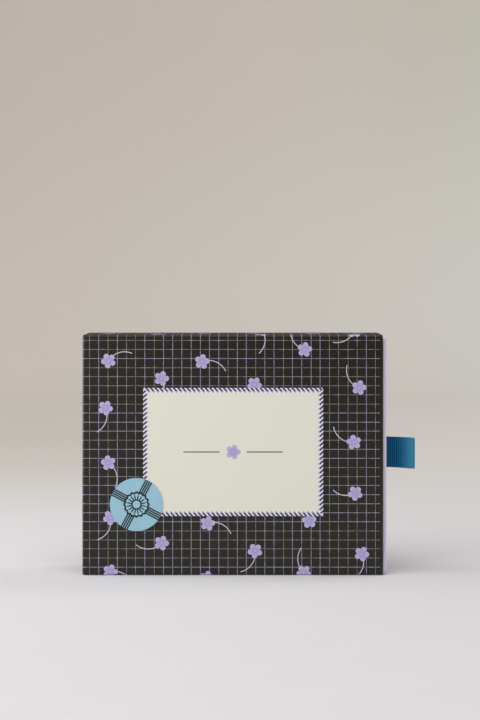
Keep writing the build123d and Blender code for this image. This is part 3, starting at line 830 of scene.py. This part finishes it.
def ribbon_piece(material):
    """Ribbed band that follows the route, with a firm selvedge along both edges."""
    route, length = resampled(ribbon_route(), RIB_PITCH / RIB_SAMPLES)
    width = RIBBON_HIGH.z - RIBBON_LOW.z
    levels = [0, 0.02, SELVEDGE / width, 2.2 * SELVEDGE / width]
    levels += [0.25, 0.5, 0.75] + [1 - level for level in reversed(levels)]
    outline = []
    for side in (1, -1):
        places = list(enumerate(route))
        for i, place in places if side > 0 else reversed(places):
            ahead = route[min(i + 1, len(route) - 1)] - route[max(i - 1, 0)]
            normal = Vector((-ahead.y, ahead.x)).normalized() * side
            rib = math.cos(math.tau * i / RIB_SAMPLES) * RIB_HEIGHT / 2
            outline.append((place, normal, rib))
    count = len(outline)
    places, faces, crests = [], [], []
    for level in levels:
        edge = min(level, 1 - level) * width
        ribbed = 1.0 if edge > SELVEDGE else SELVEDGE_RIB
        thin = EDGE_THICKNESS if edge == 0 else 1.0
        for place, normal, rib in outline:
            out = normal * (RIBBON_THICKNESS / 2 - RIB_HEIGHT / 2) * thin + normal * rib * ribbed
            flat = place + out
            hung = min(max((place.x - PULL_END_HIGH.x) / (RIBBON_HIGH.x - PULL_END_HIGH.x), 0), 1)
            sag = TIP_SAG * hung ** SAG_POWER
            places.append(Vector((flat.x, flat.y, RIBBON_LOW.z + level * width - sag)))
            crests.append(0.5 + rib * ribbed / RIB_HEIGHT)
    for i in range(len(levels) - 1):
        for j in range(count):
            k = (j + 1) % count
            faces.append((i * count + k, i * count + j, (i + 1) * count + j, (i + 1) * count + k))
    half_count = count // 2
    for row, order in ((0, 1), (len(levels) - 1, -1)):
        for j in range(half_count - 1):
            quad = (j, j + 1, count - 2 - j, count - 1 - j)
            faces.append(tuple(row * count + k for k in quad[::order]))
    piece = mesh_object("ribbon_band", places, faces, material)
    piece.data.attributes.new("rib", "FLOAT", "POINT").data.foreach_set("value", crests)
    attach(piece, "drawer")
    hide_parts("ribbon_pull")


# ---- Finishes of the CAD nodes ----------------------------------------------------------------
def dress(material, *nodes):
    """Gives carried-over CAD nodes a material."""
    for name in nodes:
        node = bpy.data.objects[name]
        node.data.materials.clear()
        node.data.materials.append(material)


def dress_nodes():
    """Gives every carried-over CAD node its finish."""
    stamp_low, stamp_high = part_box("stamp_handle")
    grip_low, grip_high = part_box("spoon_handle")
    stamp_middle = (stamp_low + stamp_high) / 2
    grip_middle = (grip_low + grip_high) / 2
    dress(label_card(), "front_label")
    dress(sticker_print(), "round_sticker")
    dress(greyboard(), *(f"sleeve_{side}_board" for side in SIDE_AXES), "tray_base_board",
          "tray_top_wall", "tray_bottom_wall", "tray_rear_end", "tray_pull_end")
    dress(lavender_paper(), "tray_wrap", "base_liner")
    dress(foam_sheet(), "foam_insert")
    dress(brass(), "seal_head", "handle_stud", "handle_ferrule", "spoon_bowl", "spoon_ferrule")
    dress(turned_wood("stamp_wood", stamp_middle.x, stamp_middle.y), "stamp_handle")
    dress(turned_wood("spoon_wood", grip_middle.x, grip_middle.y), "spoon_handle")
    dress(sealing_wax(), *(f"wax_stick_{i}" for i in (1, 2, 3)))
    dress(cotton_wick(), *(f"wick_{i}" for i in (1, 2, 3)))


# ---- Studio ---------------------------------------------------------------------------------
def painted_wall_light(graph, x, tones):
    """Painted light across the wall, through three tones from left to right."""
    left, middle, right = tones
    colour = graph.mix(graph.ramp(x, -WALL_REACH, 0.0, 1.0, 0.0), middle, left)
    return graph.mix(graph.ramp(x, 0.0, WALL_REACH), colour, right)


def backdrop():
    """Pale floor that runs back and sweeps up into the wall, with painted light and shade in its
    colour.
    """
    graph = Graph("backdrop_paper")
    place = graph.place()
    x, y, z = graph.split(place)
    near = graph.mix(graph.noise(place, 40 * MM, 2.0), *FLOOR_NEAR)
    # painted light and shade: the far floor darker on the left than on the right and than the near
    # floor
    far = graph.mix(graph.ramp(x, -0.25, 0.3), *FLOOR_FAR_PAINTED_LIGHT)
    colour = graph.mix(graph.ramp(y, *FLOOR_FADE), near, far)
    # painted light across the wall, and painted shade darkening it towards its top
    colour = graph.mix(graph.ramp(y, *WALL_FADE), colour, painted_wall_light(graph, x, WALL_FOOT_PAINTED_LIGHT))
    colour = graph.mix(graph.ramp(z, 0.0, WALL_RISE), colour, painted_wall_light(graph, x, WALL_HEAD_PAINTED_SHADE))
    material = graph.finish(colour, roughness=0.8, Specular_IOR_Level=0.1)
    line = [(SWEEP_NEAR, 0.0)]
    for i in range(SWEEP_STEPS + 1):
        turn = math.radians(90 * i / SWEEP_STEPS)
        back = SWEEP_START + SWEEP_RADIUS * math.sin(turn)
        line.append((back, SWEEP_RADIUS * (1 - math.cos(turn))))
    line.append((SWEEP_START + SWEEP_RADIUS, WALL_TOP))
    places = [(side * SWEEP_SIDE, back, up) for back, up in line for side in (-1, 1)]
    faces = [(2 * i, 2 * i + 1, 2 * i + 3, 2 * i + 2) for i in range(len(line) - 1)]
    sweep = mesh_object("backdrop", places, faces, material)


def softbox(name, place, target, size, watts):
    """Square area light that faces its target."""
    light = bpy.data.lights.new(name, "AREA")
    light.energy = watts
    light.size = size
    lamp = bpy.data.objects.new(name, light)
    lamp.location = place
    lamp.rotation_mode = "QUATERNION"
    lamp.rotation_quaternion = (Vector(target) - Vector(place)).to_track_quat("-Z", "Y")
    lamp.visible_camera = False
    bpy.context.scene.collection.objects.link(lamp)


def studio():
    """Backdrop, a window of panes round the left, two soft lights above, and a little air light."""
    backdrop()
    for i, (turn, watts) in enumerate(WINDOW_PANES):
        turn = math.radians(turn)
        place = (-WINDOW_REACH * math.sin(turn), -WINDOW_REACH * math.cos(turn), WINDOW_HEIGHT)
        softbox(f"window_{i + 1}", place, WINDOW_TARGET, PANE_SIZE, watts)
    softbox("overhead", *OVERHEAD)
    softbox("wall_wash", *WALL_WASH)
    world = bpy.data.worlds.new("studio_air")
    world.use_nodes = True
    air = world.node_tree.nodes["Background"]
    air.inputs["Color"].default_value = linear(AIR)
    air.inputs["Strength"].default_value = AIR_STRENGTH
    bpy.context.scene.world = world
    bpy.context.scene.view_settings.view_transform = "Standard"


def camera():
    """The photograph's view: level, just above the box, with the frame shifted down."""
    data = bpy.data.cameras.new("camera")
    data.lens = CAMERA_LENS
    data.sensor_width = CAMERA_SENSOR
    data.shift_y = CAMERA_SHIFT
    data.clip_start, data.clip_end = 0.01, 20
    eye = bpy.data.objects.new("camera", data)
    eye.location = (CASE_MIDDLE.x + CAMERA_ASIDE, CASE_LOW.y - CAMERA_DISTANCE, CAMERA_HEIGHT)
    eye.rotation_euler = (math.radians(90), 0, 0)
    bpy.context.scene.collection.objects.link(eye)
    bpy.context.scene.camera = eye


camera()
paper = printed_paper()
for side in SIDE_AXES:
    wrap_panel(side, paper)
for side in MOUTH_SIDES:
    mouth_strip(side, paper)
ribbon_piece(grosgrain())
dress_nodes()
studio()
